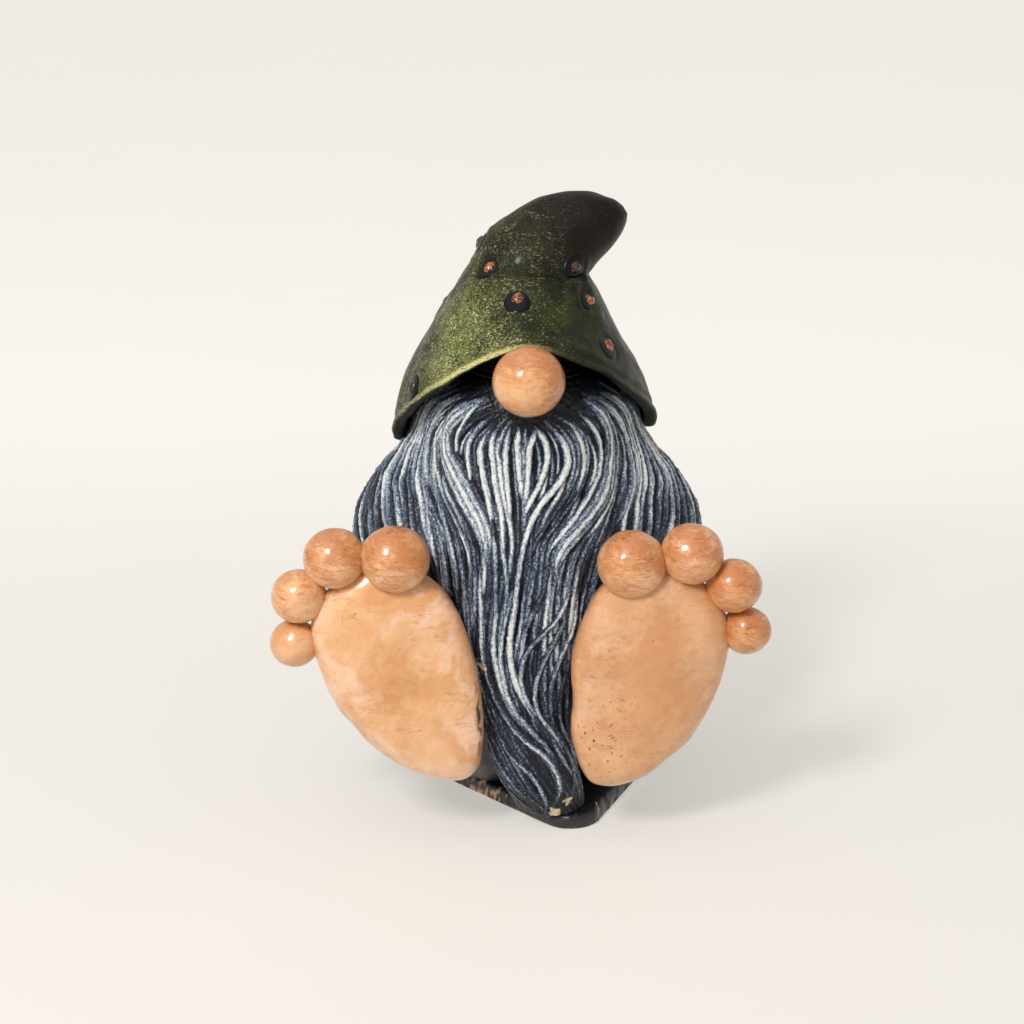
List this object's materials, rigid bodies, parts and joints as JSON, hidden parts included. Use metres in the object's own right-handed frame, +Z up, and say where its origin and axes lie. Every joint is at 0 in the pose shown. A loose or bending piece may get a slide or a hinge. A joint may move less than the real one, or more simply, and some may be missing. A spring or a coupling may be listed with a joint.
{
  "type": "gnome figurine",
  "caption": "Seated bearded gnome figurine with a bent pointed hat, a ball nose, a long wavy beard and bare soles with ball toes to the front.",
  "frame": {"origin": "middle of the foot slab's round part on its flat underside, where the figurine rests", "axes": "+Z up through the hat; -Y is the front, where the soles and nose face; +X is the gnome's own left, on the right seen from the front"},
  "size_m": [0.1226, 0.1021, 0.154],
  "materials": {
    "black_paint": "gloss varnish over black paint",
    "hair_paint": "navy-black paint dry-brushed with white, satin varnish",
    "hat_paint": "gloss varnish over olive-green paint with gold flake",
    "dot_paint": "gloss varnish over navy paint",
    "bead_paint": "copper paint, glossy",
    "skin_paint": "gloss varnish over peach paint with an orange-brown dry brush"
  },
  "bodies": {
    "root": {"base_slab": "black_paint", "torso": "black_paint", "hat": "hat_paint", "nose": "skin_paint", "beard": "hair_paint", "hair_right": "hair_paint", "hair_left": "hair_paint", "leg_right": "black_paint", "leg_left": "black_paint", "foot_right": "skin_paint", "foot_left": "skin_paint", "toe_right_1": "skin_paint", "toe_right_2": "skin_paint", "toe_right_3": "skin_paint", "toe_right_4": "skin_paint", "toe_left_1": "skin_paint", "toe_left_2": "skin_paint", "toe_left_3": "skin_paint", "toe_left_4": "skin_paint", "hat_dot_1": "dot_paint", "hat_dot_2": "dot_paint", "hat_dot_3": "dot_paint", "hat_dot_4": "dot_paint", "hat_dot_5": "dot_paint", "hat_dot_6": "dot_paint", "hat_dot_7": "dot_paint", "hat_dot_8": "dot_paint", "hat_dot_9": "dot_paint", "hat_dot_10": "dot_paint", "hat_dot_11": "dot_paint", "hat_dot_12": "dot_paint", "hat_dot_13": "dot_paint", "hat_bead_1": "bead_paint", "hat_bead_2": "bead_paint", "hat_bead_3": "bead_paint", "hat_bead_4": "bead_paint", "hat_bead_5": "bead_paint", "hat_bead_6": "bead_paint", "hat_bead_7": "bead_paint", "hat_bead_8": "bead_paint", "hat_bead_9": "bead_paint", "hat_bead_10": "bead_paint", "hat_bead_11": "bead_paint", "hat_bead_12": "bead_paint", "hat_bead_13": "bead_paint"}
  },
  "joints": []
}
